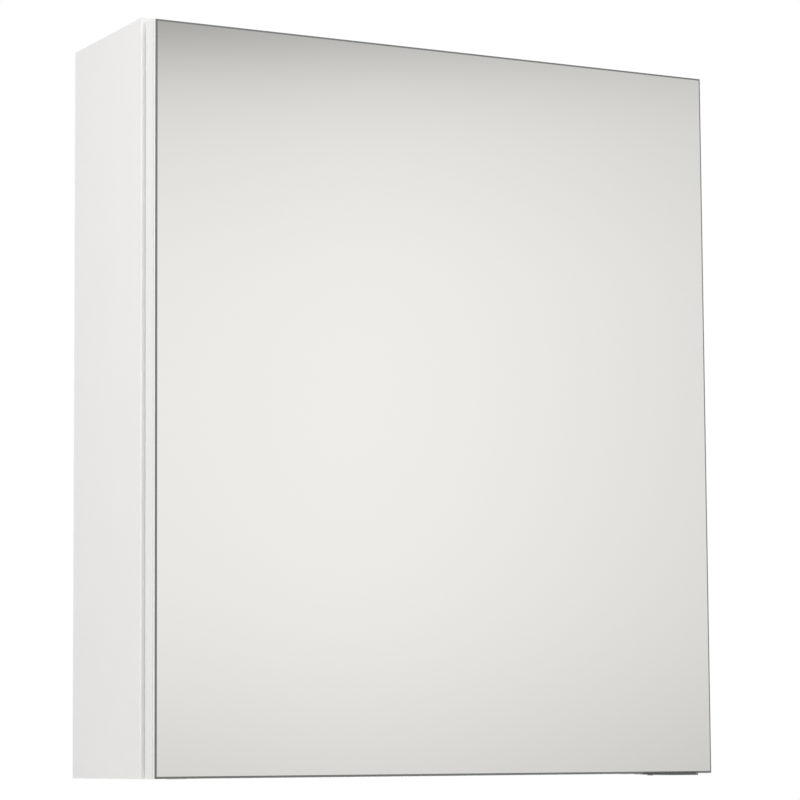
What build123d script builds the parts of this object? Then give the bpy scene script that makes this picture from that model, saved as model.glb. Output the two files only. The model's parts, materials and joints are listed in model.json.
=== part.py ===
from build123d import *
import math
import os

os.makedirs("parts", exist_ok=True)

# A wall cabinet with one mirrored door, hinged on its left.
# X runs to the right, Y towards the wall and Z up. The origin lies on the wall,
# in the middle of the four wall screws, so the carcass front faces -Y.

# Carcass sizes, in millimetres
cabinet_width = 550
cabinet_height = 640
cabinet_depth = 150
board = 16
edge_round = 0.8

back_thickness = 3
groove_depth = 6
groove_play = 0.2
back_end_play = 0.5

rail_height = 70
wall_screw_spacing_x = 400
wall_screw_drop = 35
wall_screw_radius = 2.75

# Door sizes
door_gap = 2.2
door_side_inset = 3
door_top_drop = 5
mirror_thickness = 4
adhesive_thickness = 0.5
mirror_inset = 0.3
mirror_arris = 1.4
mirror_arris_depth = 0.9
tape_width = 25
tape_count = 5
tape_end_inset = 40

# Glass shelves and the supports under them
shelf_thickness = 6
shelf_end_play = 1
shelf_depth = 112
shelf_back_play = 2
shelf_edge = 0.6
shelf_levels = (-96, 96)
pin_row_pitch = 32
spare_pin_rows = (0, 1)
pin_hole_radius = 2.5
pin_hole_depth = 10
pin_front_setback = 37
pin_back_setback = 45
support_pin_length = 8
support_tongue_length = 11
support_tongue_width = 10
support_tongue_thickness = 2.5
support_pad_thickness = 1
support_stop_height = 8
support_stop_thickness = 0.8

# Fittings that hold the carcass together
cam_radius = 7.5
cam_below_bolt = 4.5
cam_play = 0.1
cam_centre_inset = 34
cam_setback = 40
cam_slot_width = 1.6
cam_slot_depth = 2.5
cam_cap_radius = 8.8
cam_cap_thickness = 0.8
cam_bolt_radius = 3
cam_bolt_head_radius = 3.6
cam_bolt_head_length = 3
cam_bolt_tail = 11
cam_bolt_bore_radius = 4
dowel_radius = 4
dowel_length = 30
dowel_side_depth = 12
dowel_hole_play = 0.5
dowel_setback = 96
rail_dowel_spacing = 40

# Finger pull under the door and the soft bumpers behind it
pull_length = 57
pull_right_inset = 15
pull_thickness = 1.5
pull_tip_thickness = 0.3
pull_depth = 18
pull_taper_length = 36
pull_screw_spacing = 30
pull_screw_radius = 1.5
pull_screw_length = 12
pull_screw_head_radius = 2.8
screw_head_angle = 90
bumper_radius = 4
bumper_play = 0.4
bumper_inset = 8
bumper_end_inset = 22

# Concealed cup hinges. Places in plan are pairs (inwards, forwards), measured from
# the front corner of the left side panel's inner face.
hinge_end_distance = 90
cup_edge_distance = 3.5
cup_radius = 17.5
cup_depth = 11.5
cup_wall = 1.6
cup_floor = 0.9
cup_bore_play = 0.1
cup_bore_spare_depth = 0.5
cup_flange_thickness = 1.2
cup_flange_radius = 18.5
cup_screw_spacing = 45
cup_screw_offset = 9.5
cup_ear_radius = 6
cup_screw_radius = 1.75
cup_screw_head_radius = 2.9
cup_screw_length = 11
cup_notch_depth = 2.2
cup_notch_half_height = 9
cup_notch_reach = 5
cup_pin_depth = 2
cup_outer_pin_inset = 4.9
cup_pin_spacing = 7.5
arm_nose_clearance = 2.1
arm_outer_pivot_step = 0.3
arm_outer_pivot_setback = 8
arm_inner_pivot_reach = 9.1
pivot_pin_radius = 1
sheet = 1.6
side_play = 0.4
inner_link_half_height = 4.2
outer_link_bar = 2.6
outer_link_bar_shift = 0.85
outer_link_eye = 2.2
outer_link_arm_eye = 3.2
outer_link_web_length = 8
inner_link_bar = 4.2
inner_link_eye = 2.4
inner_link_loop_step = (-1.1, 2.15)
inner_link_loop_hole = 3.65
inner_link_loop_wall = 1.2
pivot_play = 0.05
nose_radius = 2.3
arm_tail = 62
arm_web_level = 16
arm_web_end = 20
arm_foot_level = 3.4
plate_setback = 37
plate_thickness = 2.2
plate_length = 52
plate_wing_width = 12
plate_wing_height = 44
plate_corner_radius = 4
plate_body_height = 15
plate_ridge_level = 8
plate_ridge_length = 44
plate_screw_spacing = 32
plate_screw_radius = 2.5
plate_screw_length = 11
plate_screw_head_radius = 4.4
plate_screw_head_height = 1.6
adjuster_radius = 2
adjuster_head_radius = 3
adjuster_head_height = 1
adjuster_setbacks = (30, 50)

# Levels and planes worked out from the sizes above
half_width = cabinet_width / 2
half_height = cabinet_height / 2
inner_half_width = half_width - board
inner_half_height = half_height - board
front_y = -cabinet_depth
back_front_y = -board - back_thickness
wall_screw_level = inner_half_height - wall_screw_drop
wall_screw_points = [
    (x, z)
    for x in (-wall_screw_spacing_x / 2, wall_screw_spacing_x / 2)
    for z in (-wall_screw_level, wall_screw_level)
]
board_middle = half_height - board / 2

door_back_y = front_y - door_gap
door_front_y = door_back_y - board
mirror_back_y = door_front_y - adhesive_thickness
mirror_front_y = mirror_back_y - mirror_thickness
door_left = -half_width + door_side_inset
door_right = half_width - door_side_inset
door_bottom = -half_height
door_top = half_height - door_top_drop
door_middle = (door_top + door_bottom) / 2
door_height = door_top - door_bottom

pull_left = door_right - pull_right_inset - pull_length
pull_middle = pull_left + pull_length / 2
pull_screw_y = (mirror_front_y + pull_depth + door_front_y) / 2
pull_screw_points = [
    (pull_middle + end * pull_screw_spacing / 2, pull_screw_y) for end in (-1, 1)
]

pin_columns = (front_y + pin_front_setback, -pin_back_setback)
shelf_pin_rows = [
    level + row * pin_row_pitch
    for level in shelf_levels
    for row in spare_pin_rows
]
support_top = pin_hole_radius + support_pad_thickness
cam_rows = (front_y + cam_setback,)
cam_height = board / 2 + cam_below_bolt
dowel_row = front_y + dowel_setback
cam_bore_depth = cam_height + dowel_hole_play
rail_middle = inner_half_height - rail_height / 2
rail_dowel_points = [
    (-board / 2, end * rail_middle + step)
    for end in (-1, 1)
    for step in (-rail_dowel_spacing / 2, rail_dowel_spacing / 2)
]


def save(piece, name):
    """Label a finished piece and write its file."""
    piece.part.label = name
    export_step(piece.part, f"parts/{name}.step")


def inner_face(side):
    """The face of a side panel that looks into the cabinet. Local y is Z."""
    return Plane(origin=(side * inner_half_width, 0, 0), x_dir=(0, -side, 0), z_dir=(-side, 0, 0))


def end_face(side):
    """The end of a board that butts against a side panel. Local y is Z."""
    return Plane(origin=(side * inner_half_width, 0, 0), x_dir=(0, side, 0), z_dir=(side, 0, 0))


def outer_face(level):
    """The top of the cabinet for level 1, and its underside for level -1."""
    return Plane(origin=(0, 0, level * half_height), x_dir=(1, 0, 0), z_dir=(0, 0, level))


def drill(plane, points, radius, depth):
    """Blind holes into the piece being made, at points of one of its faces."""
    with Locations(plane):
        with Locations(*points):
            Hole(radius, depth)


# Side panels: grooved for the back, bored for dowels, cam bolts and shelf supports
def make_side_panel(side, name, extra_points=()):
    to_face = -side
    panel_dowels = [(dowel_row, level * board_middle) for level in (-1, 1)]
    bolt_points = [(y, level * board_middle) for level in (-1, 1) for y in cam_rows]
    support_points = [(y, z) for y in pin_columns for z in shelf_pin_rows]
    groove_y = -board - (back_thickness + groove_play) / 2
    with BuildPart() as panel:
        with BuildSketch(Plane.YZ.offset(side * inner_half_width)):
            with Locations((front_y / 2, 0)):
                Rectangle(cabinet_depth, cabinet_height)
        extrude(amount=side * board)
        fillet(panel.edges().filter_by(Axis.Z).group_by(Axis.Y)[0], edge_round)
        with BuildSketch(Plane.XY.offset(-inner_half_height - groove_depth)):
            with Locations((side * inner_half_width, groove_y)):
                Rectangle(2 * groove_depth, back_thickness + groove_play)
        extrude(amount=2 * (inner_half_height + groove_depth), mode=Mode.SUBTRACT)
        drill(
            inner_face(side),
            [(to_face * y, z) for y, z in panel_dowels + rail_dowel_points],
            dowel_radius,
            dowel_side_depth,
        )
        drill(
            inner_face(side),
            [(to_face * y, z) for y, z in bolt_points],
            cam_bolt_radius,
            cam_bolt_tail,
        )
        drill(
            inner_face(side),
            [(to_face * y, z) for y, z in support_points],
            pin_hole_radius,
            pin_hole_depth,
        )
        for points, radius, depth in extra_points:
            drill(inner_face(side), [(to_face * y, z) for y, z in points], radius, depth)
    save(panel, name)


# Top and bottom panels: grooved for the back, with cams near their ends
def make_level_panel(level, name):
    inner_level = level * inner_half_height
    groove_y = -board - (back_thickness + groove_play) / 2
    cam_x = inner_half_width - cam_centre_inset
    middle = level * board_middle
    with BuildPart() as panel:
        with BuildSketch(Plane.XY.offset(inner_level)):
            with Locations((0, front_y / 2)):
                Rectangle(2 * inner_half_width, cabinet_depth)
        extrude(amount=level * board)
        fillet(panel.edges().filter_by(Axis.X).group_by(Axis.Y)[0], edge_round)
        with BuildSketch(Plane.YZ.offset(-inner_half_width)):
            with Locations((groove_y, inner_level)):
                Rectangle(back_thickness + groove_play, 2 * groove_depth)
        extrude(amount=2 * inner_half_width, mode=Mode.SUBTRACT)
        cam_points = [(side * cam_x, level * y) for side in (-1, 1) for y in cam_rows]
        drill(outer_face(level), cam_points, cam_radius + cam_play, cam_bore_depth)
        for side in (-1, 1):
            drill(
                end_face(side),
                [(side * y, middle) for y in cam_rows],
                cam_bolt_bore_radius,
                cam_centre_inset,
            )
            dowel_depth = dowel_length - dowel_side_depth + dowel_hole_play
            drill(end_face(side), [(side * dowel_row, middle)], dowel_radius, dowel_depth)
    save(panel, name)


# Rear rails between the side panels: the wall screws pass through them
def make_rail(end, name):
    middle = end * rail_middle
    with BuildPart() as rail:
        with BuildSketch(Plane.XZ):
            with Locations((0, middle)):
                Rectangle(2 * inner_half_width, rail_height)
        extrude(amount=board)
        holes = [(x, z) for x, z in wall_screw_points if z * end > 0]
        with Locations(Plane.XZ):
            with Locations(*holes):
                Hole(wall_screw_radius)
        for side in (-1, 1):
            points = [(side * y, z) for y, z in rail_dowel_points if z * end > 0]
            dowel_depth = dowel_length - dowel_side_depth + dowel_hole_play
            drill(end_face(side), points, dowel_radius, dowel_depth)
    save(rail, name)


# Back panel, held in the grooves in front of the rails
def make_back_panel():
    reach = groove_depth - back_end_play
    with BuildPart() as back:
        with BuildSketch(Plane.XZ.offset(board)):
            Rectangle(2 * (inner_half_width + reach), 2 * (inner_half_height + reach))
            with Locations(*wall_screw_points):
                Circle(wall_screw_radius, mode=Mode.SUBTRACT)
        extrude(amount=back_thickness)
    save(back, "back_panel")


# Cam locks: each grips the head of a cam bolt that is screwed into a side panel
def make_cam_fittings():
    cam_x = inner_half_width - cam_centre_inset
    head_end = cam_bolt_head_length / 2
    with BuildPart() as cams:
        for level in (-1, 1):
            for side in (-1, 1):
                for y in cam_rows:
                    face = outer_face(level)
                    with BuildSketch(face) as disc:
                        with Locations((side * cam_x, level * y)):
                            Circle(cam_radius)
                    extrude(disc.sketch, amount=-cam_height)
                    with BuildSketch(face) as slot:
                        with Locations((side * cam_x, level * y)):
                            Rectangle(cam_radius, cam_slot_width)
                    extrude(slot.sketch, amount=-cam_slot_depth, mode=Mode.SUBTRACT)
                    mouth_x = side * (cam_x - cam_bolt_head_length)
                    mouth = Plane(
                        origin=(mouth_x, y, level * board_middle), z_dir=(side, 0, 0)
                    )
                    with BuildSketch(mouth) as bore:
                        Circle(cam_bolt_bore_radius)
                    extrude(bore.sketch, amount=2 * cam_radius, mode=Mode.SUBTRACT)
    save(cams, "cam_locks")

    with BuildPart() as bolts:
        for level in (-1, 1):
            for side in (-1, 1):
                for y in cam_rows:
                    tail_x = side * (inner_half_width + cam_bolt_tail)
                    axis_plane = Plane(
                        origin=(tail_x, y, level * board_middle), z_dir=(-side, 0, 0)
                    )
                    with BuildSketch(axis_plane) as shank:
                        Circle(cam_bolt_radius)
                    reach = cam_bolt_tail + cam_centre_inset + head_end
                    extrude(shank.sketch, amount=reach)
                    head_plane = axis_plane.offset(reach - cam_bolt_head_length)
                    with BuildSketch(head_plane) as head:
                        Circle(cam_bolt_head_radius)
                    extrude(head.sketch, amount=cam_bolt_head_length)
    save(bolts, "cam_bolts")

    with BuildPart() as caps:
        for level in (-1, 1):
            with BuildSketch(outer_face(level)) as discs:
                with Locations(*[(side * cam_x, level * y) for side in (-1, 1) for y in cam_rows]):
                    Circle(cam_cap_radius)
            extrude(discs.sketch, amount=cam_cap_thickness)
    save(caps, "cam_caps")


# Wooden dowels between the side panels and all that butts against them
def make_dowels():
    panel_points = [(dowel_row, level * board_middle) for level in (-1, 1)]
    with BuildPart() as dowels:
        for side in (-1, 1):
            start = Plane(
                origin=(side * (inner_half_width + dowel_side_depth - dowel_hole_play), 0, 0),
                x_dir=(0, -side, 0),
                z_dir=(-side, 0, 0),
            )
            with BuildSketch(start) as rounds:
                with Locations(*[(-side * y, z) for y, z in panel_points + rail_dowel_points]):
                    Circle(dowel_radius)
            extrude(rounds.sketch, amount=dowel_length)
    save(dowels, "wooden_dowels")


# Shelf supports: a pin in the side panel, a stop plate, a tongue and a soft pad under the glass
def make_shelf_supports():
    with BuildPart() as supports:
        for side in (-1, 1):
            face = inner_face(side)
            points = [(-side * y, z) for y in pin_columns for z in shelf_levels]
            with BuildSketch(face) as pins:
                with Locations(*points):
                    Circle(pin_hole_radius)
            extrude(pins.sketch, amount=-support_pin_length)
            with BuildSketch(face) as stops:
                for across, level in points:
                    with Locations((across, level + pin_hole_radius - support_stop_height / 2)):
                        Rectangle(support_tongue_width, support_stop_height)
            extrude(stops.sketch, amount=support_stop_thickness)
            with BuildSketch(face) as tongues:
                for across, level in points:
                    with Locations((across, level + pin_hole_radius - support_tongue_thickness / 2)):
                        Rectangle(support_tongue_width, support_tongue_thickness)
            extrude(tongues.sketch, amount=support_tongue_length)
            with BuildSketch(face.offset(support_stop_thickness)) as pads:
                for across, level in points:
                    with Locations((across, level + pin_hole_radius + support_pad_thickness / 2)):
                        Rectangle(support_tongue_width - 2, support_pad_thickness)
            extrude(pads.sketch, amount=support_tongue_length - support_stop_thickness - 1)
    save(supports, "shelf_supports")


# Glass shelves with softened edges
def make_shelf(level, name):
    back_y = back_front_y - shelf_back_play
    with BuildPart() as shelf:
        with BuildSketch(Plane.XY.offset(level + support_top)):
            with Locations((0, back_y - shelf_depth / 2)):
                RectangleRounded(2 * (inner_half_width - shelf_end_play), shelf_depth, 2)
        extrude(amount=shelf_thickness)
        chamfer(shelf.edges().group_by(Axis.Z)[-1], shelf_edge)
        chamfer(shelf.edges().group_by(Axis.Z)[0], shelf_edge)
    save(shelf, name)


# Door board, with bores for the cups and pilot holes for the screws
def make_door_panel(cup_points, cup_radius, cup_depth, pilot_points, pilot_radius, pilot_depth):
    back = Plane(origin=(0, door_back_y, 0), x_dir=(-1, 0, 0), z_dir=(0, 1, 0))
    underside = Plane(origin=(0, 0, door_bottom), x_dir=(1, 0, 0), z_dir=(0, 0, -1))
    with BuildPart() as door:
        with BuildSketch(Plane.XZ.offset(-door_back_y)):
            with Locations((0, door_middle)):
                Rectangle(door_right - door_left, door_height)
        extrude(amount=board)
        fillet(door.edges().group_by(Axis.Y)[-1], edge_round)
        drill(back, [(-x, z) for x, z in cup_points], cup_radius, cup_depth)
        drill(back, [(-x, z) for x, z in pilot_points], pilot_radius, pilot_depth)
        drill(
            underside,
            [(x, -y) for x, y in pull_screw_points],
            pull_screw_radius,
            pull_screw_length,
        )
    save(door, "door_panel")


# Mirror with a ground arris round its front face
def make_mirror():
    with BuildPart() as mirror:
        with BuildSketch(Plane.XZ.offset(-mirror_back_y)):
            with Locations((0, door_middle)):
                Rectangle(door_right - door_left - 2 * mirror_inset, door_height - 2 * mirror_inset)
        extrude(amount=mirror_thickness)
        front_edges = mirror.edges().group_by(Axis.Y)[0]
        front_face = mirror.faces().sort_by(Axis.Y)[0]
        chamfer(front_edges, mirror_arris, mirror_arris_depth, reference=front_face)
    save(mirror, "mirror_glass")


# Adhesive strips between the board and the mirror
def make_adhesive_strips():
    spread = door_right - door_left - 2 * tape_end_inset
    with BuildPart() as strips:
        with BuildSketch(Plane.XZ.offset(-door_front_y)):
            with Locations((0, door_middle)):
                with GridLocations(spread / (tape_count - 1), 1, tape_count, 1):
                    Rectangle(tape_width, door_height - 2 * tape_end_inset)
        extrude(amount=adhesive_thickness)
    save(strips, "adhesive_strips")


# Finger pull: a small lip under the door, thin at its left end
def make_finger_pull():
    left = pull_left
    right = left + pull_length
    with BuildPart() as pull:
        with BuildSketch(Plane.XZ.offset(-mirror_front_y - pull_depth)):
            with BuildLine():
                upper_left = (left, door_bottom)
                tip = (left, door_bottom - pull_tip_thickness)
                taper_end = (left + pull_taper_length, door_bottom - pull_thickness)
                lower_right = (right, door_bottom - pull_thickness)
                upper_right = (right, door_bottom)
                Line(upper_left, tip)
                TangentArc(taper_end, tip, tangent=(-1, 0))
                Line(taper_end, lower_right)
                Line(lower_right, upper_right)
                Line(upper_right, upper_left)
            make_face()
        extrude(amount=pull_depth)
        underside = Plane(
            origin=(0, 0, door_bottom - pull_thickness), x_dir=(1, 0, 0), z_dir=(0, 0, -1)
        )
        with Locations(underside):
            with Locations(*[(x, -y) for x, y in pull_screw_points]):
                CounterSinkHole(
                    pull_screw_radius, pull_screw_head_radius, counter_sink_angle=screw_head_angle
                )
    save(pull, "finger_pull")

    with BuildPart() as screws:
        for x, y in pull_screw_points:
            head_level = door_bottom - pull_thickness
            with BuildSketch(Plane(origin=(x, y, 0), x_dir=(1, 0, 0), z_dir=(0, -1, 0))) as profile:
                with BuildLine():
                    Polyline(
                        (0, head_level),
                        (pull_screw_head_radius, head_level),
                        (pull_screw_radius, head_level + pull_screw_head_radius - pull_screw_radius),
                        (pull_screw_radius, door_bottom + pull_screw_length - pull_screw_radius),
                        (0, door_bottom + pull_screw_length),
                        close=True,
                    )
                make_face()
            revolve(profile.sketch, axis=Axis((x, y, 0), (0, 0, 1)))
    save(screws, "pull_screws")


# Soft bumpers that hold the closed door off the carcass
def make_bumpers():
    x = door_right - bumper_inset
    with BuildPart() as bumpers:
        with BuildSketch(Plane.XZ.offset(-door_back_y)):
            for z in (door_bottom + bumper_end_inset, door_top - bumper_end_inset):
                with Locations((x, z)):
                    Circle(bumper_radius)
        extrude(amount=-(door_gap - bumper_play))
        chamfer(bumpers.edges().group_by(Axis.Y)[-1], (door_gap - bumper_play) / 2)
    save(bumpers, "door_bumpers")


# Concealed hinges: cup, two links and an arm on its plate, at one level
def in_plan(point):
    """A point of the hinge's plan, in the cabinet's own X and Y."""
    inwards, forwards = point
    return (-inner_half_width + inwards, front_y - forwards)


def moved(point, step):
    return (point[0] + step[0], point[1] + step[1])


cup_centre = (door_left + inner_half_width + cup_edge_distance + cup_radius, door_gap)
cup_inner_radius = cup_radius - cup_wall
cup_outer_pin = moved(cup_centre, (cup_outer_pin_inset - cup_inner_radius, cup_pin_depth))
cup_inner_pin = moved(cup_outer_pin, (cup_pin_spacing, 0))
arm_inner_pivot = (
    cup_centre[0] + cup_inner_radius - arm_nose_clearance - nose_radius,
    arm_inner_pivot_reach,
)
arm_outer_pivot = (arm_inner_pivot[0] + arm_outer_pivot_step, -arm_outer_pivot_setback)
cheek_inside = inner_link_half_height + side_play
cheek_outside = cheek_inside + sheet
ear_inside = cheek_outside + side_play
ear_outside = ear_inside + sheet
plate_points = [
    (front_y + plate_setback, end * plate_screw_spacing / 2) for end in (-1, 1)
]


def disc_at(point, radius, mode=Mode.ADD):
    with Locations(in_plan(point)):
        Circle(radius, mode=mode)


def bar_between(start, end, width, shift=0.0):
    """A straight bar of the plan, moved sideways by shift."""
    first = Vector(*in_plan(start))
    last = Vector(*in_plan(end))
    along = last - first
    middle = (first + last) / 2
    sideways = Vector(-along.Y, along.X).normalized() * shift
    turn = math.degrees(math.atan2(along.Y, along.X))
    with Locations(Location((middle.X + sideways.X, middle.Y + sideways.Y), turn)):
        Rectangle(along.length, width)


def make_cup(level, name):
    centre = in_plan(cup_centre)
    back = Plane(origin=(centre[0], door_back_y, level), x_dir=(-1, 0, 0), z_dir=(0, 1, 0))
    ear_x = -cup_screw_offset
    with BuildPart() as cup:
        with BuildSketch(back) as flange:
            Circle(cup_flange_radius)
            with Locations((ear_x, cup_screw_spacing / 2), (ear_x, -cup_screw_spacing / 2)):
                Circle(cup_ear_radius)
            make_hull()
        extrude(flange.sketch, amount=cup_flange_thickness)
        with BuildSketch(back) as pot:
            Circle(cup_radius)
        extrude(pot.sketch, amount=-cup_depth)
        with BuildSketch(back.offset(cup_flange_thickness)) as hollow:
            Circle(cup_inner_radius)
        inside_depth = cup_flange_thickness + cup_depth - cup_floor
        extrude(hollow.sketch, amount=-inside_depth, mode=Mode.SUBTRACT)
        with BuildSketch(back.offset(cup_flange_thickness)) as notch:
            with Locations((cup_radius, 0)):
                Rectangle(2 * cup_notch_reach, 2 * cup_notch_half_height)
        notch_depth = cup_flange_thickness + cup_notch_depth
        extrude(notch.sketch, amount=-notch_depth, mode=Mode.SUBTRACT)
        with Locations(back.offset(cup_flange_thickness)):
            with Locations((ear_x, cup_screw_spacing / 2), (ear_x, -cup_screw_spacing / 2)):
                CounterSinkHole(
                    cup_screw_radius,
                    cup_screw_head_radius,
                    cup_flange_thickness,
                    screw_head_angle,
                )
        for pivot in (cup_outer_pin, cup_inner_pin):
            with BuildSketch(Plane.XY.offset(level - cup_radius)) as pin_hole:
                disc_at(pivot, pivot_pin_radius)
            extrude(pin_hole.sketch, amount=2 * cup_radius, mode=Mode.SUBTRACT)
    save(cup, name)


def make_cup_pins(level, name):
    def seat(pivot):
        across = pivot[0] - cup_centre[0]
        return math.sqrt(cup_inner_radius**2 - across**2) + cup_wall / 2

    with BuildPart() as pins:
        outer_reach = seat(cup_outer_pin)
        for end in (-1, 1):
            with BuildSketch(Plane.XY.offset(level + end * cheek_outside)) as stub:
                disc_at(cup_outer_pin, pivot_pin_radius)
            extrude(stub.sketch, amount=end * (outer_reach - cheek_outside))
        inner_reach = seat(cup_inner_pin)
        with BuildSketch(Plane.XY.offset(level - inner_reach)) as long_pin:
            disc_at(cup_inner_pin, pivot_pin_radius)
        extrude(long_pin.sketch, amount=2 * inner_reach)
    save(pins, name)


def make_cup_screws(level, name):
    centre = in_plan(cup_centre)
    with BuildPart() as screws:
        for end in (-1, 1):
            x = centre[0] + cup_screw_offset
            z = level + end * cup_screw_spacing / 2
            top = cup_flange_thickness
            cone = cup_screw_head_radius - cup_screw_radius
            with BuildSketch(Plane(origin=(x, door_back_y, z), x_dir=(1, 0, 0), z_dir=(0, 0, 1))) as profile:
                Polygon(
                    (0, top),
                    (cup_screw_head_radius, top),
                    (cup_screw_radius, top - cone),
                    (cup_screw_radius, cup_screw_radius - cup_screw_length),
                    (0, -cup_screw_length),
                    align=None,
                )
            revolve(profile.sketch, axis=Axis((x, door_back_y, z), (0, 1, 0)))
    save(screws, name)


def make_outer_link(level, name):
    along = Vector(*cup_outer_pin) - Vector(*arm_outer_pivot)
    direction = along.normalized()
    half_web = outer_link_web_length / 2
    web_middle = Vector(*arm_outer_pivot) + along / 2
    below = Vector(direction.Y, -direction.X) * -1 * (outer_link_bar - sheet) / 2
    web_start = web_middle - direction * half_web + below
    web_end = web_middle + direction * half_web + below
    with BuildPart() as link:
        for end in (-1, 1):
            with BuildSketch(Plane.XY.offset(level + end * ear_inside)) as ear:
                disc_at(cup_outer_pin, outer_link_eye)
                disc_at(arm_outer_pivot, outer_link_arm_eye)
                bar_between(arm_outer_pivot, cup_outer_pin, outer_link_bar, outer_link_bar_shift)
                bar_between((web_start.X, web_start.Y), (web_end.X, web_end.Y), sheet)
                disc_at(cup_outer_pin, pivot_pin_radius + pivot_play, Mode.SUBTRACT)
                disc_at(arm_outer_pivot, pivot_pin_radius + pivot_play, Mode.SUBTRACT)
            extrude(ear.sketch, amount=end * sheet)
        with BuildSketch(Plane.XY.offset(level - ear_outside)) as web:
            bar_between((web_start.X, web_start.Y), (web_end.X, web_end.Y), sheet)
        extrude(web.sketch, amount=2 * ear_outside)
    save(link, name)


def make_inner_link(level, name):
    loop = moved(cup_inner_pin, inner_link_loop_step)
    with BuildPart() as link:
        with BuildSketch(Plane.XY.offset(level - inner_link_half_height)):
            disc_at(arm_inner_pivot, inner_link_eye)
            disc_at(loop, inner_link_loop_hole + inner_link_loop_wall)
            bar_between(arm_inner_pivot, loop, inner_link_bar)
            disc_at(arm_inner_pivot, pivot_pin_radius + pivot_play, Mode.SUBTRACT)
            disc_at(loop, inner_link_loop_hole, Mode.SUBTRACT)
        extrude(amount=2 * inner_link_half_height)
    save(link, name)


def make_arm(level, name):
    nose_left = arm_inner_pivot[0] - nose_radius
    nose_right = arm_inner_pivot[0] + nose_radius
    nose_top = arm_inner_pivot[1]
    outline = [
        (arm_foot_level, -arm_tail),
        (arm_web_level, -arm_tail),
        (arm_web_level, -arm_web_end),
        (nose_right + nose_radius / 2, arm_outer_pivot[1] - nose_radius),
        (nose_right, arm_outer_pivot[1] + 2 * nose_radius),
        (nose_right, nose_top),
        (nose_left, nose_top),
        (nose_left, arm_outer_pivot[1] + nose_radius),
        (arm_foot_level + 2 * nose_radius, -arm_web_end + nose_radius),
        (arm_foot_level, -arm_web_end - nose_radius),
    ]
    with BuildPart() as arm:
        for end in (-1, 1):
            with BuildSketch(Plane.XY.offset(level + end * cheek_inside)) as cheek:
                with BuildLine():
                    Polyline(*[in_plan(point) for point in outline], close=True)
                make_face()
                disc_at(arm_inner_pivot, nose_radius)
                for pivot in (arm_inner_pivot, arm_outer_pivot):
                    disc_at(pivot, pivot_pin_radius, Mode.SUBTRACT)
            extrude(cheek.sketch, amount=end * sheet)
        with BuildSketch(Plane.XY.offset(level - cheek_outside)) as web:
            bar_between(
                (arm_web_level - sheet / 2, -arm_tail), (arm_web_level - sheet / 2, -arm_web_end), sheet
            )
        extrude(web.sketch, amount=2 * cheek_outside)
        web_face = Plane(
            origin=(in_plan((arm_web_level, 0))[0], front_y, level), x_dir=(0, 1, 0), z_dir=(1, 0, 0)
        )
        drill(web_face, [(setback, 0) for setback in adjuster_setbacks], adjuster_radius, 2 * sheet)
    save(arm, name)


def make_arm_pins(level, name):
    with BuildPart() as pins:
        for pivot, reach in ((arm_outer_pivot, ear_outside), (arm_inner_pivot, cheek_outside)):
            with BuildSketch(Plane.XY.offset(level - reach)) as rod:
                disc_at(pivot, pivot_pin_radius)
            extrude(rod.sketch, amount=2 * reach)
    save(pins, name)


def make_plate(level, name):
    face = inner_face(-1)
    middle_y = front_y + plate_setback + plate_wing_width / 2
    with BuildPart() as plate:
        with BuildSketch(face) as outline:
            with Locations((middle_y, level)):
                Rectangle(plate_length, plate_body_height)
            with Locations((front_y + plate_setback, level)):
                RectangleRounded(plate_wing_width, plate_wing_height, plate_corner_radius)
            with Locations(*[(y, level + step) for y, step in plate_points]):
                Circle(plate_screw_radius, mode=Mode.SUBTRACT)
        extrude(outline.sketch, amount=plate_thickness)
        with BuildSketch(face.offset(plate_thickness)) as ridge:
            with Locations((middle_y, level)):
                Rectangle(plate_ridge_length, 2 * (cheek_inside - side_play))
        extrude(ridge.sketch, amount=plate_ridge_level - plate_thickness)
        drill(
            face.offset(plate_ridge_level),
            [(front_y + setback, level) for setback in adjuster_setbacks],
            adjuster_radius,
            plate_ridge_level - plate_thickness,
        )
    save(plate, name)


def make_plate_screws(level, name):
    face = inner_face(-1)
    points = [(y, level + step) for y, step in plate_points]
    with BuildPart() as screws:
        with BuildSketch(face.offset(-plate_screw_length)) as shanks:
            with Locations(*points):
                Circle(plate_screw_radius)
        extrude(shanks.sketch, amount=plate_screw_length + plate_thickness)
        with BuildSketch(face.offset(plate_thickness)) as heads:
            with Locations(*points):
                Circle(plate_screw_head_radius)
        extrude(heads.sketch, amount=plate_screw_head_height)
    save(screws, name)


def make_adjusters(level, name):
    face = inner_face(-1)
    points = [(front_y + setback, level) for setback in adjuster_setbacks]
    with BuildPart() as screws:
        with BuildSketch(face.offset(plate_thickness)) as shanks:
            with Locations(*points):
                Circle(adjuster_radius)
        extrude(shanks.sketch, amount=arm_web_level - plate_thickness)
        with BuildSketch(face.offset(arm_web_level)) as heads:
            with Locations(*points):
                Circle(adjuster_head_radius)
        extrude(heads.sketch, amount=adjuster_head_height)
    save(screws, name)


# The whole cabinet
hinge_level = half_height - hinge_end_distance
hinge_levels = {"lower": -hinge_level, "upper": hinge_level}
plate_pilots = [
    (y, level + step) for level in hinge_levels.values() for y, step in plate_points
]
cup_x = in_plan(cup_centre)[0]
cup_screw_pilots = [
    (cup_x + cup_screw_offset, level + step)
    for level in hinge_levels.values()
    for step in (-cup_screw_spacing / 2, cup_screw_spacing / 2)
]

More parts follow.
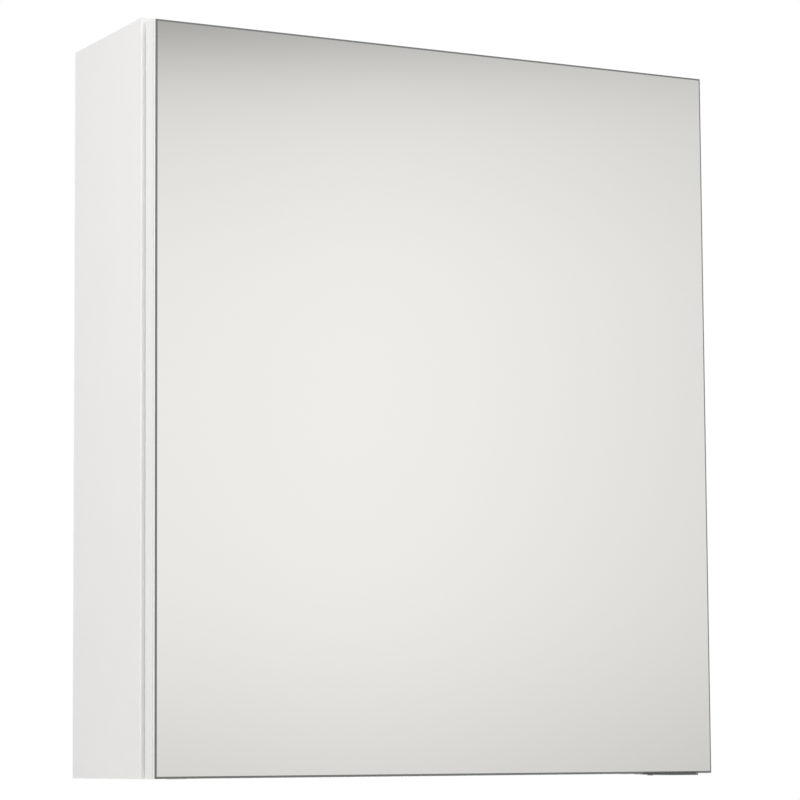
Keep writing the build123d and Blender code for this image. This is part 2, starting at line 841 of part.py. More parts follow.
make_side_panel(-1, "side_panel_left", [(plate_pilots, plate_screw_radius, plate_screw_length)])
make_side_panel(1, "side_panel_right")
make_level_panel(1, "top_panel")
make_level_panel(-1, "bottom_panel")
make_rail(1, "upper_rail")
make_rail(-1, "lower_rail")
make_back_panel()
make_cam_fittings()
make_dowels()
make_shelf_supports()
make_shelf(shelf_levels[0], "lower_shelf")
make_shelf(shelf_levels[1], "upper_shelf")
make_door_panel(
    [(cup_x, level) for level in hinge_levels.values()],
    cup_radius + cup_bore_play,
    cup_depth + cup_bore_spare_depth,
    cup_screw_pilots,
    cup_screw_radius,
    cup_screw_length,
)
make_mirror()
make_adhesive_strips()
make_finger_pull()
make_bumpers()
for place, level in hinge_levels.items():
    make_plate(level, f"{place}_hinge_plate")
    make_plate_screws(level, f"{place}_plate_screws")
    make_arm(level, f"{place}_hinge_arm")
    make_adjusters(level, f"{place}_adjusting_screws")
    make_arm_pins(level, f"{place}_arm_pins")
    make_outer_link(level, f"{place}_outer_link")
    make_inner_link(level, f"{place}_inner_link")
    make_cup(level, f"{place}_hinge_cup")
    make_cup_pins(level, f"{place}_cup_pins")
    make_cup_screws(level, f"{place}_cup_screws")
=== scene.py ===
import bpy
import json
import math
import numpy as np
from mathutils import Matrix, Vector


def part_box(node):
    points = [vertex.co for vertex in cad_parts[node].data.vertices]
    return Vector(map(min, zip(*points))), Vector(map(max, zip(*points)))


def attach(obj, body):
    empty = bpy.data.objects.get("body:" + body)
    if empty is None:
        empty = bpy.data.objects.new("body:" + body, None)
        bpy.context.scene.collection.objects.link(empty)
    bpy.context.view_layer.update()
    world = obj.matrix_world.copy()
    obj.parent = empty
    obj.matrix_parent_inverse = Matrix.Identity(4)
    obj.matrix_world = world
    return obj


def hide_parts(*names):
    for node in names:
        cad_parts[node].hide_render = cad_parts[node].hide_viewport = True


# Wall cabinet with one mirrored door: finishes, small screws, studio and camera.
# X runs right, Y into the wall, Z up. The origin is on the wall.

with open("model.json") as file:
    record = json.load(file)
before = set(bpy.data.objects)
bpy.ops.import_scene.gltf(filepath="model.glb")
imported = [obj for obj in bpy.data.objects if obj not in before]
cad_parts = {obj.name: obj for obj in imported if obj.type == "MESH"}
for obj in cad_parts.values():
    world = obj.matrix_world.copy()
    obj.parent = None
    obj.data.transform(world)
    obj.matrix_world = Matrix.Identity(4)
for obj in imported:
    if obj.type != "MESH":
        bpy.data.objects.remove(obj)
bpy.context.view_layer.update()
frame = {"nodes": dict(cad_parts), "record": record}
nodes = frame["nodes"]
print("loaded", len(nodes), "CAD nodes")

# Places of a Mix node's sockets, for colours and for plain values
mixFactor, mixLow, mixHigh, mixColour = 0, 6, 7, 2
mixLowValue, mixHighValue = 2, 3


def hexToLinear(code):
    # sRGB to linear: c / 12.92 up to 0.04045, else ((c + 0.055) / 1.055) ** 2.4
    channels = [int(code[i:i + 2], 16) / 255 for i in (1, 3, 5)]
    return [c / 12.92 if c <= 0.04045 else ((c + 0.055) / 1.055) ** 2.4 for c in channels] + [1.0]


def addNode(tree, kind, values=None, links=None, **settings):
    # One node with its properties, socket values and incoming links
    node = tree.nodes.new(kind)
    for name, value in settings.items():
        setattr(node, name, value)
    for name, value in (values or {}).items():
        node.inputs[name].default_value = value
    for name, source in (links or {}).items():
        tree.links.new(source, node.inputs[name])
    return node


def startMaterial(name):
    material = bpy.data.materials.new(name)
    material.use_nodes = True
    tree = material.node_tree
    return material, tree, tree.nodes["Principled BSDF"], addNode(tree, "ShaderNodeTexCoord")


def everyMm(millimetres):
    # Noise scale that puts one feature about every so many millimetres
    return 1000 / millimetres


def mottled(tree, spot, low, high, sizeMm, detail=2.0):
    # Two near tones in soft patches, sizeMm across
    patches = addNode(
        tree, "ShaderNodeTexNoise", {"Scale": everyMm(sizeMm), "Detail": detail}, {"Vector": spot}
    )
    tones = addNode(
        tree, "ShaderNodeMix",
        {mixLow: hexToLinear(low), mixHigh: hexToLinear(high)},
        {mixFactor: patches.outputs["Fac"]}, data_type="RGBA",
    )
    return tones.outputs[mixColour]


def grained(tree, spot, shader, sizeMm, heightMm, roughness):
    # Fine surface texture: the same noise sets the bump and wanders the roughness
    grain = addNode(
        tree, "ShaderNodeTexNoise", {"Scale": everyMm(sizeMm), "Detail": 3.0}, {"Vector": spot}
    )
    bump = addNode(
        tree, "ShaderNodeBump", {"Strength": 1.0, "Distance": heightMm / 1000},
        {"Height": grain.outputs["Fac"]},
    )
    tree.links.new(bump.outputs["Normal"], shader.inputs["Normal"])
    sheen = addNode(
        tree, "ShaderNodeMapRange", {"To Min": roughness[0], "To Max": roughness[1]},
        {"Value": grain.outputs["Fac"]},
    )
    tree.links.new(sheen.outputs["Result"], shader.inputs["Roughness"])


def depthInBox(tree, spot, nodeName, marginMm):
    # abs(p - centre) - half size + margin on each axis: below 0 farther in than the margin
    low, high = (np.array(corner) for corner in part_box(nodeName))
    fromCentre = addNode(
        tree, "ShaderNodeVectorMath", {1: tuple((low + high) / 2)}, {0: spot}, operation="SUBTRACT"
    )
    folded = addNode(
        tree, "ShaderNodeVectorMath", None, {0: fromCentre.outputs[0]}, operation="ABSOLUTE"
    )
    depth = addNode(
        tree, "ShaderNodeVectorMath", {1: tuple((high - low) / 2 - marginMm / 1000)},
        {0: folded.outputs[0]}, operation="SUBTRACT",
    )
    return addNode(tree, "ShaderNodeSeparateXYZ", None, {0: depth.outputs[0]}).outputs


# Melamine-faced particle board: a hard white satin foil with a faint pearl texture.
# Where a bore or groove cuts through the foil, the raw board shows.
melamineLook = {
    "white": "#F0EFEE",
    "patch": "#EDECEB",
    "patchMm": 70,
    "pearlMm": 1.6,         # nearer 0.3 mm on the real foil, coarser here so that it shows
    "pearlHeightMm": 0.012,
    "roughness": (0.34, 0.46),
    "rawBoard": "#C4A47A",
    "rawChip": "#9A7C55",
    "chipMm": 1.8,
    "foilMm": 0.3,          # anything this far inside the board's box is a bore or groove
    "paintedEdgeHighlight": "#F2F1F0",    # painted highlight on the front and back edge faces and a strip beside them, a shade whiter than the foil
    "paintedHighlightMm": 1.2,
    "highlightSlope": 0.5,     # a normal with less Y than this belongs to a thin side
    "ior": 1.52,
}


def makeMelamine(nodeName, frontIsEdge):
    look = melamineLook
    material, tree, shader, place = startMaterial("whiteMelamineBoard_" + nodeName)
    spot = place.outputs["Object"]
    foil = mottled(tree, spot, look["patch"], look["white"], look["patchMm"])
    raw = mottled(tree, spot, look["rawChip"], look["rawBoard"], look["chipMm"], detail=4.0)
    grained(tree, spot, shader, look["pearlMm"], look["pearlHeightMm"], look["roughness"])
    # Painted highlight: near the front or back the foil is painted a shade whiter, for the light
    # that the rounded board corners catch. On a board whose broad face points that way it only
    # shows as a line along the thin sides.
    # the painted highlight's mask: within its width of the front or back
    ends = depthInBox(tree, spot, nodeName, look["paintedHighlightMm"])
    near = addNode(tree, "ShaderNodeMath", {1: 0.0}, {0: ends[1]}, operation="GREATER_THAN")
    highlighted = near.outputs[0]
    if not frontIsEdge:
        facing = addNode(tree, "ShaderNodeSeparateXYZ", None, {0: place.outputs["Normal"]})
        outward = addNode(
            tree, "ShaderNodeMath", None, {0: facing.outputs[1]}, operation="ABSOLUTE"
        )
        thin = addNode(
            tree, "ShaderNodeMath", {1: look["highlightSlope"]}, {0: outward.outputs[0]},
            operation="LESS_THAN",
        )
        both = addNode(
            tree, "ShaderNodeMath", None, {0: highlighted, 1: thin.outputs[0]}, operation="MULTIPLY"
        )
        highlighted = both.outputs[0]
    foilWithHighlight = addNode(
        tree, "ShaderNodeMix", {mixHigh: hexToLinear(look["paintedEdgeHighlight"])},
        {mixFactor: highlighted, mixLow: foil}, data_type="RGBA",
    )
    axes = depthInBox(tree, spot, nodeName, look["foilMm"])
    deeper = addNode(tree, "ShaderNodeMath", None, {0: axes[0], 1: axes[1]}, operation="MAXIMUM")
    deepest = addNode(
        tree, "ShaderNodeMath", None, {0: deeper.outputs[0], 1: axes[2]}, operation="MAXIMUM"
    )
    inside = addNode(
        tree, "ShaderNodeMath", {1: 0.0}, {0: deepest.outputs[0]}, operation="LESS_THAN"
    )
    colour = addNode(
        tree, "ShaderNodeMix", None,
        {mixFactor: inside.outputs[0], mixLow: foilWithHighlight.outputs[mixColour], mixHigh: raw},
        data_type="RGBA",
    )
    tree.links.new(colour.outputs[mixColour], shader.inputs["Base Color"])
    shader.inputs["IOR"].default_value = look["ior"]
    return material


# Lacquered fibreboard: flatter white than the foil, with a roller's orange peel
lacquerLook = {
    "white": "#EBEAE7", "patch": "#E6E5E2", "patchMm": 45,
    "peelMm": 2.2, "peelHeightMm": 0.02, "roughness": (0.42, 0.55), "ior": 1.5,
}


def makeLacquer():
    look = lacquerLook
    material, tree, shader, place = startMaterial("whiteLacquer")
    spot = place.outputs["Object"]
    tree.links.new(
        mottled(tree, spot, look["patch"], look["white"], look["patchMm"]),
        shader.inputs["Base Color"],
    )
    grained(tree, spot, shader, look["peelMm"], look["peelHeightMm"], look["roughness"])
    shader.inputs["IOR"].default_value = look["ior"]
    return material


# Silvered float glass: the front is a near perfect mirror, a shade warm and never quite
# 100 % bright. The chamfer and a thin line just inside it on the front are dark grey: partly
# the ground glass's own tone, partly painted shade for the dark look a glass edge gets from
# refraction. The cut edge and the back are near white, a painted highlight on the cut edge.
mirrorLook = {
    "silver": "#F4F3EF",
    "haze": (0.012, 0.03),      # faint wiping haze in patches
    "hazeMm": 120,
    "hazeSpread": (0.35, 0.75),     # the noise values the haze runs between
    # chamfer colour: partly the ground glass's grey, partly painted shade
    "arris": "#6F7170",
    # cut edge colour: near white, a painted highlight
    "cutEdgeHighlight": "#F8FAF8",
    "shadeLineMm": 1.7,              # the painted shade line, from the cut edge over the chamfer onto the front
    "groundRoughness": 0.35,
    "frontSlope": 0.97,         # a normal this near -Y belongs to the front
    "edgeSlope": 0.4,           # one below this belongs to the cut edge or the back
}


def makeMirror():
    look = mirrorLook
    material, tree, shader, place = startMaterial("silveredGlass")
    spot = place.outputs["Object"]
    facing = addNode(tree, "ShaderNodeSeparateXYZ", None, {0: place.outputs["Normal"]})
    forward = addNode(
        tree, "ShaderNodeMath", {1: -1.0}, {0: facing.outputs[1]}, operation="MULTIPLY"
    )
    flat = addNode(
        tree, "ShaderNodeMath", {1: look["frontSlope"]}, {0: forward.outputs[0]},
        operation="GREATER_THAN",
    )
    axes = depthInBox(tree, spot, "mirror_glass", look["shadeLineMm"])
    outer = addNode(tree, "ShaderNodeMath", None, {0: axes[0], 1: axes[2]}, operation="MAXIMUM")
    clear = addNode(tree, "ShaderNodeMath", {1: 0.0}, {0: outer.outputs[0]}, operation="LESS_THAN")
    isFront = addNode(
        tree, "ShaderNodeMath", None, {0: flat.outputs[0], 1: clear.outputs[0]},
        operation="MULTIPLY",
    )
    isShadedChamfer = addNode(
        tree, "ShaderNodeMath", {1: look["edgeSlope"]}, {0: forward.outputs[0]},
        operation="GREATER_THAN",
    )
    # Painted shade on the chamfer and the front's outer strip, painted highlight on the cut edge
    edges = addNode(
        tree, "ShaderNodeMix",
        {mixLow: hexToLinear(look["cutEdgeHighlight"]), mixHigh: hexToLinear(look["arris"])},
        {mixFactor: isShadedChamfer.outputs[0]}, data_type="RGBA",
    )
    colour = addNode(
        tree, "ShaderNodeMix", {mixHigh: hexToLinear(look["silver"])},
        {mixFactor: isFront.outputs[0], mixLow: edges.outputs[mixColour]}, data_type="RGBA",
    )
    tree.links.new(colour.outputs[mixColour], shader.inputs["Base Color"])
    tree.links.new(isFront.outputs[0], shader.inputs["Metallic"])
    haze = addNode(
        tree, "ShaderNodeTexNoise", {"Scale": everyMm(look["hazeMm"]), "Detail": 2.0},
        {"Vector": spot},
    )
    hazeLevel = addNode(
        tree, "ShaderNodeMapRange",
        {"From Min": look["hazeSpread"][0], "From Max": look["hazeSpread"][1],
         "To Min": look["haze"][0], "To Max": look["haze"][1]},
        {"Value": haze.outputs["Fac"]},
    )
    roughness = addNode(
        tree, "ShaderNodeMix", {mixLowValue: look["groundRoughness"]},
        {mixFactor: isFront.outputs[0], mixHighValue: hazeLevel.outputs["Result"]},
        data_type="FLOAT",
    )
    tree.links.new(roughness.outputs[0], shader.inputs["Roughness"])
    return material


# Clear float glass for the shelves: nearly colourless through its face, green at its edges
shelfLook = {
    "face": "#F3F9F6", "edge": "#A8CFC0", "edgeSlope": 0.6,
    "smearMm": 90, "roughness": (0.01, 0.05), "clearness": 0.94, "ior": 1.52,
}


def makeShelfGlass():
    look = shelfLook
    material, tree, shader, place = startMaterial("clearFloatGlass")
    facing = addNode(tree, "ShaderNodeSeparateXYZ", None, {0: place.outputs["Normal"]})
    upright = addNode(tree, "ShaderNodeMath", None, {0: facing.outputs[2]}, operation="ABSOLUTE")
    isEdge = addNode(
        tree, "ShaderNodeMath", {1: look["edgeSlope"]}, {0: upright.outputs[0]},
        operation="LESS_THAN",
    )
    colour = addNode(
        tree, "ShaderNodeMix",
        {mixLow: hexToLinear(look["face"]), mixHigh: hexToLinear(look["edge"])},
        {mixFactor: isEdge.outputs[0]}, data_type="RGBA",
    )
    tree.links.new(colour.outputs[mixColour], shader.inputs["Base Color"])
    grained(tree, place.outputs["Object"], shader, look["smearMm"], 0.0, look["roughness"])
    shader.inputs["Transmission Weight"].default_value = look["clearness"]
    shader.inputs["IOR"].default_value = look["ior"]
    return material


# Metals: colour at two tones, patch size, texture size and height, roughness range
metalLooks = {
    # bright nickel over pressed steel: warm, soft gloss, with faint draw lines from the press
    "nickelPlatedSteel": {"low": "#CFCCC7", "high": "#DAD7D2", "patchMm": 25, "grainMm": 0.9,
                          "heightMm": 0.004, "roughness": (0.2, 0.3)},
    # clear passivated zinc on small screws: cooler and brighter, slightly cloudy
    "zincPlatedSteel": {"low": "#B6B9BB", "high": "#CCCECF", "patchMm": 3, "grainMm": 0.5,
                        "heightMm": 0.004, "roughness": (0.25, 0.42)},
    # bare zinc die casting: dull grey with a cast skin
    "castZinc": {"low": "#85868A", "high": "#A0A1A4", "patchMm": 4, "grainMm": 0.6,
                 "heightMm": 0.02, "roughness": (0.5, 0.65)},
    # blackened steel of the two small screws in the pull
    "blackenedSteel": {"low": "#2C2C2E", "high": "#3B3B3D", "patchMm": 2, "grainMm": 0.5,
                       "heightMm": 0.005, "roughness": (0.38, 0.5)},
}

# Moulded, foamed and coated pieces, in the same terms
plainLooks = {
    # white moulded polyethylene caps: waxy satin
    "mouldedCapPlastic": {"low": "#EAE9E6", "high": "#F0EFEC", "patchMm": 6, "grainMm": 0.8,
                          "heightMm": 0.006, "roughness": (0.36, 0.46), "ior": 1.51},
    # double-sided foam tape: open white cells
    "foamTape": {"low": "#D6D5D0", "high": "#E6E5E1", "patchMm": 2.5, "grainMm": 0.7,
                 "heightMm": 0.12, "roughness": (0.8, 0.95), "ior": 1.45},
    # dark powder coat on the finger pull: fine orange peel, half matt
    "darkPowderCoat": {"low": "#636466", "high": "#707173", "patchMm": 5, "grainMm": 0.9,
                       "heightMm": 0.02, "roughness": (0.42, 0.56), "ior": 1.5},
    # soft clear bumper, a cloudy drop of urethane
    "clearBumper": {"low": "#DAD9D3", "high": "#E8E7E2", "patchMm": 3, "grainMm": 0.8,
                    "heightMm": 0.01, "roughness": (0.28, 0.4), "ior": 1.49},
}


def makeCoated(name, look, metallic=0.0):
    material, tree, shader, place = startMaterial(name)
    spot = place.outputs["Object"]
    tree.links.new(
        mottled(tree, spot, look["low"], look["high"], look["patchMm"]), shader.inputs["Base Color"]
    )
    grained(tree, spot, shader, look["grainMm"], look["heightMm"], look["roughness"])
    shader.inputs["Metallic"].default_value = metallic
    if "ior" in look:
        shader.inputs["IOR"].default_value = look["ior"]
    return material


# Turned beech: pale brown with short dark rays along the dowel, which lies along X
beechLook = {
    "pale": "#D9B98C", "ray": "#B58E5F", "rayMm": 1.2, "stretch": 0.12,
    "rayHeightMm": 0.03, "roughness": (0.5, 0.65),
}


def makeBeech():
    look = beechLook
    material, tree, shader, place = startMaterial("turnedBeech")
    along = addNode(
        tree, "ShaderNodeMapping", {"Scale": (look["stretch"], 1.0, 1.0)},
        {"Vector": place.outputs["Object"]},
    )
    rays = mottled(
        tree, along.outputs["Vector"], look["ray"], look["pale"], look["rayMm"], detail=4.0
    )
    tree.links.new(rays, shader.inputs["Base Color"])
    grained(
        tree, along.outputs["Vector"], shader, look["rayMm"], look["rayHeightMm"], look["roughness"]
    )
    return material


def finish(nodeName, material):
    for slot in nodes[nodeName].material_slots:
        slot.material = material


for nodeName in ("side_panel_left", "side_panel_right", "top_panel", "bottom_panel"):
    finish(nodeName, makeMelamine(nodeName, frontIsEdge=True))
for nodeName in ("upper_rail", "lower_rail", "door_panel"):
    finish(nodeName, makeMelamine(nodeName, frontIsEdge=False))
finish("back_panel", makeLacquer())
finish("mirror_glass", makeMirror())
shelfGlass = makeShelfGlass()
finish("lower_shelf", shelfGlass)
finish("upper_shelf", shelfGlass)
finish("wooden_dowels", makeBeech())
metals = {name: makeCoated(name, look, metallic=1.0) for name, look in metalLooks.items()}
plains = {name: makeCoated(name, look) for name, look in plainLooks.items()}
for place in ("lower", "upper"):
    for piece in ("hinge_cup", "hinge_arm", "hinge_plate", "outer_link", "inner_link"):
        finish(f"{place}_{piece}", metals["nickelPlatedSteel"])
    for piece in ("arm_pins", "cup_pins", "plate_screws", "cup_screws", "adjusting_screws"):
        finish(f"{place}_{piece}", metals["zincPlatedSteel"])
finish("shelf_supports", metals["nickelPlatedSteel"])
finish("cam_bolts", metals["zincPlatedSteel"])
finish("cam_locks", metals["castZinc"])
finish("pull_screws", metals["blackenedSteel"])
finish("cam_caps", plains["mouldedCapPlastic"])
finish("adhesive_strips", plains["foamTape"])
finish("finger_pull", plains["darkPowderCoat"])
finish("door_bumpers", plains["clearBumper"])
print("finishes given to", len(nodes), "nodes")


# Turned screws: a head with a cross recess over a threaded shank. Each stands for a plain
# CAD screw, two to a node, and takes its place from that node's box. Sizes in millimetres.
screwLook = {
    "recessWidth": 0.85, "recessShare": 0.52, "recessDepthShare": 0.38, "recessBlur": 0.18,
    "pitch": 1.2, "threadDepth": 0.28, "crown": 0.35,
    "columns": 48, "headRings": 18, "threadRings": 60, "sharpDegrees": 40,
    # axis the head faces, axis the two stand apart on, head and shank radius, and the height
    # of a flat head, 0 for a countersunk one
    "kinds": {
        "cup_screws": {"faces": (0, 1, 0), "apart": 2, "head": 2.9, "shank": 1.75, "flat": 0},
        "plate_screws": {"faces": (1, 0, 0), "apart": 2, "head": 4.4, "shank": 2.5, "flat": 1.6},
        "adjusting_screws": {"faces": (1, 0, 0), "apart": 1, "head": 3, "shank": 2, "flat": 1},
        "pull_screws": {"faces": (0, 0, -1), "apart": 0, "head": 2.8, "shank": 1.5, "flat": 0},
    },
    "turns": (0.35, 1.15),      # how far round each of the two was driven, in radians
}


def screwSurface(look, kind, length):
    # Rings run from the crown's centre over the rim and down the shank to its point. t is the
    # angle round the axis, h the height, which is 0 at the crown's top and negative below it.
    # Head: h = -crown r^2 / R^2 - recess, where the recess is its depth times
    # s(w - min(|x|, |y|)) s(l - max(|x|, |y|)) and s is a smooth step.
    # Thread: r = shank - depth |2 frac(h / pitch + t / 2 pi) - 1|.
    angle = np.linspace(0, 2 * np.pi, look["columns"], endpoint=False)[None, :]
    radius = np.linspace(0, 1, look["headRings"] + 1)[1:, None] * kind["head"]
    x, y = radius * np.cos(angle), radius * np.sin(angle)
    near, far = np.minimum(abs(x), abs(y)), np.maximum(abs(x), abs(y))

    def step(value):
        share = np.clip(value / look["recessBlur"] + 0.5, 0, 1)
        return share * share * (3 - 2 * share)

    recess = step(look["recessWidth"] / 2 - near) * step(look["recessShare"] * kind["head"] - far)
    headHeight = kind["flat"] or kind["head"] - kind["shank"]
    crown = look["crown"] if kind["flat"] else 0
    depth = look["recessDepthShare"] * (kind["flat"] or kind["head"])
    top = -crown * (radius / kind["head"]) ** 2 - depth * recess
    neck = np.array([[kind["head"], -headHeight], [kind["shank"], -headHeight]])
    if not kind["flat"]:
        neck = neck[1:]
    level = np.linspace(-headHeight, -length + kind["shank"], look["threadRings"])[1:, None]
    phase = level / look["pitch"] + angle / (2 * np.pi)
    thread = kind["shank"] - look["threadDepth"] * abs(2 * (phase % 1) - 1)
    around = (len(neck), angle.size)
    r = np.concatenate(
        [np.broadcast_to(radius, top.shape), np.broadcast_to(neck[:, :1], around), thread]
    )
    h = np.concatenate(
        [top, np.broadcast_to(neck[:, 1:], around), np.broadcast_to(level, thread.shape)]
    )
    body = np.stack([r * np.cos(angle), r * np.sin(angle), h], axis=-1).reshape(-1, 3)
    points = np.concatenate([[[0, 0, -depth]], body, [[0, 0, -length]]])
    count, columns = r.shape
    column = np.arange(columns)
    after = (column + 1) % columns
    ring = 1 + np.arange(count - 1)[:, None] * columns
    walls = np.stack(
        [ring + column, ring + columns + column, ring + columns + after, ring + after], axis=-1
    )
    first = np.stack([np.zeros(columns, int), 1 + column, 1 + after], axis=-1)
    start = 1 + (count - 1) * columns
    last = np.stack([np.full(columns, len(points) - 1), start + after, start + column], axis=-1)
    return points, walls.reshape(-1, 4), np.concatenate([first, last])


def makeScrews(nodeName, kind, material):
    look = screwLook
    low, high = (np.array(corner) * 1000 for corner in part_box(nodeName))
    facing = np.array(kind["faces"], float)
    along = int(np.argmax(abs(facing)))
    length = high[along] - low[along]
    points, quads, triangles = screwSurface(look, kind, length)
    side = np.roll(abs(facing), 1)
    turn = np.stack([side, np.cross(facing, side), facing])
    allPoints, allFaces = [], []
    for end, angle in zip((0, 1), look["turns"]):
        centre = (low + high) / 2
        centre[along] = high[along] if facing.sum() > 0 else low[along]
        apart = kind["apart"]
        centre[apart] = (low[apart] + kind["head"], high[apart] - kind["head"])[end]
        sine, cosine = math.sin(angle), math.cos(angle)
        driven = np.array([[cosine, sine, 0], [-sine, cosine, 0], [0, 0, 1]])
        shift = len(points) * end
        allPoints.append((points @ driven @ turn + centre) / 1000)
        allFaces += (quads + shift).tolist() + (triangles + shift).tolist()
    mesh = bpy.data.meshes.new(nodeName + "_turned")
    mesh.from_pydata(np.concatenate(allPoints).tolist(), [], allFaces)
    mesh.materials.append(material)
    mesh.shade_smooth()
    mesh.set_sharp_from_angle(angle=math.radians(look["sharpDegrees"]))
    piece = bpy.data.objects.new(nodeName + "_turned", mesh)
    bpy.context.collection.objects.link(piece)
    bodies = frame["record"]["behaviour"]["bodies"]
    bodyName = next(name for name, members in bodies.items() if nodeName in members)
    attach(piece, bodyName)
    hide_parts(nodeName)


for place in ("lower", "upper"):
    for kindName in ("cup_screws", "plate_screws", "adjusting_screws"):
        makeScrews(
            f"{place}_{kindName}", screwLook["kinds"][kindName], metals["zincPlatedSteel"],
        )
makeScrews(
    "pull_screws", screwLook["kinds"]["pull_screws"], metals["blackenedSteel"]
)
print("screws turned")


# Studio: a white room, a pale floor well below the hung cabinet, four large soft lamps
studioLook = {
    "ambient": 0.62,
    "floorDrop": 1.5,
    "floorSize": 40.0,
    "floorSquares": 8,
    "floorColour": "#F2F1EF",
    "floorGlow": 0.82,
    "floorMirrorGlow": 0.05,
    # what mirrors see, by height: (sine of the elevation, level)
    "heights": [(-0.4, 0.546), (-0.03, 0.662), (0.03, 0.913), (0.09, 0.945), (0.15, 0.948),
                (0.19, 0.860), (0.215, 0.750), (0.24, 0.232), (0.4, 0.411), (0.9, 0.500)],
    # and across the room: (x of the direction, level)
    "across": [(-1.0, 0.838), (0.3, 0.870), (0.42, 1.006), (0.48, 1.002), (0.55, 0.856),
               (0.8, 0.725)],
    # place, size in metres, watts
    "lamps": {
        "leftKey": ((-1.3, -0.72, 0.48), 1.2, 8.1),
        "rightFill": ((3.2, -2.4, 0.8), 2.4, 40),
        "rearLamp": ((1.0, 3.2, 1.5), 2.4, 40),
        "topLamp": ((0.0, -0.6, 3.0), 2.0, 22),
    },
}


def makeRamp(tree, source, stops):
    # Levels by position, with the source's -1 to 1 stretched to the ramp's 0 to 1
    ranged = addNode(
        tree, "ShaderNodeMapRange", {"From Min": -1.0, "From Max": 1.0}, {"Value": source}
    )
    ramp = addNode(tree, "ShaderNodeValToRGB", None, {"Fac": ranged.outputs["Result"]})
    ramp.color_ramp.interpolation = "B_SPLINE"
    ends = ramp.color_ramp.elements
    for position, _ in stops[1:-1]:
        ends.new((position + 1) / 2)
    for stop, (position, level) in zip(ends, stops):
        stop.position = (position + 1) / 2
        stop.color = (level, level, level, 1.0)
    return ramp.outputs["Color"]


def seenStraight(tree, path):
    # 1 for what the camera sees itself or through glass
    seen = addNode(
        tree, "ShaderNodeMath", None,
        {0: path.outputs["Is Camera Ray"], 1: path.outputs["Is Transmission Ray"]},
        operation="MAXIMUM",
    )
    return seen.outputs[0]


def makeRoom(look):
    world = bpy.data.worlds.new("whiteRoom")
    bpy.context.scene.world = world
    world.use_nodes = True
    tree = world.node_tree
    tree.nodes.clear()
    place = addNode(tree, "ShaderNodeTexCoord")
    direction = addNode(tree, "ShaderNodeSeparateXYZ", None, {0: place.outputs["Generated"]})
    heights = makeRamp(tree, direction.outputs[2], look["heights"])
    across = makeRamp(tree, direction.outputs[0], look["across"])
    mirrored = addNode(
        tree, "ShaderNodeMix", {mixFactor: 1.0}, {mixLow: heights, mixHigh: across},
        data_type="RGBA", blend_type="MULTIPLY",
    )
    path = addNode(tree, "ShaderNodeLightPath")
    lit = addNode(
        tree, "ShaderNodeBackground", {"Color": (1, 1, 1, 1), "Strength": look["ambient"]}
    )
    white = addNode(tree, "ShaderNodeBackground", {"Color": (1, 1, 1, 1), "Strength": 1.0})
    graded = addNode(
        tree, "ShaderNodeBackground", {"Strength": 1.0}, {"Color": mirrored.outputs[mixColour]}
    )
    glossy = addNode(
        tree, "ShaderNodeMixShader", None,
        {0: path.outputs["Is Glossy Ray"], 1: lit.outputs[0], 2: graded.outputs[0]},
    )
    final = addNode(
        tree, "ShaderNodeMixShader", None,
        {0: seenStraight(tree, path), 1: glossy.outputs[0], 2: white.outputs[0]},
    )
    addNode(tree, "ShaderNodeOutputWorld", None, {"Surface": final.outputs[0]})


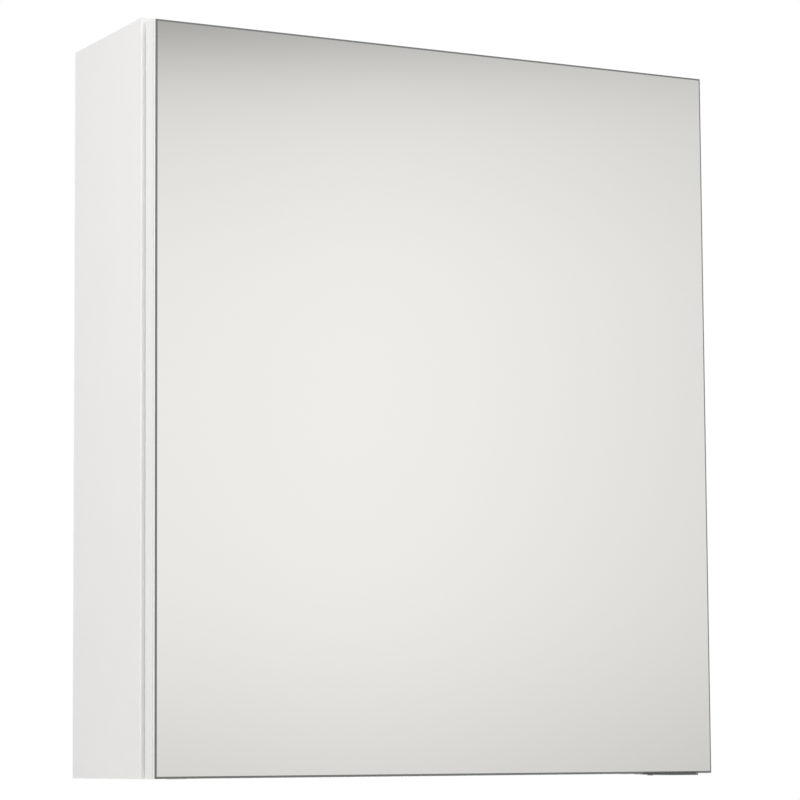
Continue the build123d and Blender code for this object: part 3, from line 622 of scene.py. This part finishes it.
def makeFloor(look):
    # Flat square grid, x and y from -size/2 to size/2
    squares = look["floorSquares"]
    steps = np.linspace(-look["floorSize"] / 2, look["floorSize"] / 2, squares + 1)
    x, y = np.meshgrid(steps, steps)
    points = np.stack([x.ravel(), y.ravel(), np.full(x.size, -look["floorDrop"])], axis=1)
    row = np.arange(squares)
    first = (row[:, None] * (squares + 1) + row[None, :]).ravel()
    faces = np.stack([first, first + 1, first + squares + 2, first + squares + 1], axis=1)
    mesh = bpy.data.meshes.new("floor")
    mesh.from_pydata(points.tolist(), [], faces.tolist())
    floor = bpy.data.objects.new("floor", mesh)
    bpy.context.collection.objects.link(floor)
    # Matt white floor. A glow lifts it to near white for camera and glass, and a little for
    # mirrors. Its shadow stays.
    material, tree, shader, _ = startMaterial("mattWhiteFloor")
    tree.nodes.remove(shader)
    path = addNode(tree, "ShaderNodeLightPath")
    matt = addNode(tree, "ShaderNodeBsdfDiffuse", {"Color": hexToLinear(look["floorColour"])})
    glow = addNode(
        tree, "ShaderNodeMath", {1: look["floorGlow"]}, {0: seenStraight(tree, path)},
        operation="MULTIPLY",
    )
    mirrorGlow = addNode(
        tree, "ShaderNodeMath", {1: look["floorMirrorGlow"]},
        {0: path.outputs["Is Glossy Ray"]}, operation="MULTIPLY",
    )
    allGlow = addNode(
        tree, "ShaderNodeMath", None, {0: glow.outputs[0], 1: mirrorGlow.outputs[0]},
        operation="ADD",
    )
    light = addNode(
        tree, "ShaderNodeEmission", {"Color": (1, 1, 1, 1)}, {"Strength": allGlow.outputs[0]}
    )
    both = addNode(tree, "ShaderNodeAddShader", None, {0: matt.outputs[0], 1: light.outputs[0]})
    tree.links.new(both.outputs[0], tree.nodes["Material Output"].inputs["Surface"])
    mesh.materials.append(material)


def makeLamp(name, place, size, watts):
    data = bpy.data.lights.new(name, "AREA")
    data.shape = "DISK"
    data.size = size
    data.energy = watts
    lamp = bpy.data.objects.new(name, data)
    bpy.context.collection.objects.link(lamp)
    lamp.location = place
    lamp.rotation_euler = (-Vector(place)).to_track_quat("-Z", "Y").to_euler()
    lamp.visible_glossy = False
    lamp.visible_camera = False


makeRoom(studioLook)
makeFloor(studioLook)
for name, lamp in studioLook["lamps"].items():
    makeLamp(name, *lamp)
print("studio ready")


# Camera: below eye level, to the cabinet's left. The small rise of the lens keeps the
# uprights nearly parallel.
cameraLook = {
    "place": (-1.28790, -2.54014, -0.29786),
    "yaw": 27.741,      # degrees right of +Y
    "pitch": 5.830,
    "roll": -0.385,
    "lens": 140.337,    # millimetres
    "rise": 0.04,
    "film": 36,
    "clip": (0.05, 100),
}


def makeCamera(look):
    data = bpy.data.cameras.new("studioCamera")
    data.lens = look["lens"]
    data.sensor_width = look["film"]
    data.shift_y = look["rise"]
    data.clip_start, data.clip_end = look["clip"]
    camera = bpy.data.objects.new("studioCamera", data)
    bpy.context.collection.objects.link(camera)
    yaw, pitch, roll = (math.radians(look[key]) for key in ("yaw", "pitch", "roll"))
    # forward = (sin yaw cos pitch, cos yaw cos pitch, sin pitch), then the roll about it
    forward = Vector(
        (math.sin(yaw) * math.cos(pitch), math.cos(yaw) * math.cos(pitch), math.sin(pitch))
    )
    level = Vector((math.cos(yaw), -math.sin(yaw), 0))
    upright = level.cross(forward)
    right = math.cos(roll) * level + math.sin(roll) * upright
    up = math.cos(roll) * upright - math.sin(roll) * level
    turn = Matrix((right, up, -forward)).transposed().to_4x4()
    camera.matrix_world = Matrix.Translation(look["place"]) @ turn
    bpy.context.scene.camera = camera


makeCamera(cameraLook)
bpy.context.scene.view_settings.view_transform = "Standard"
print("camera placed")
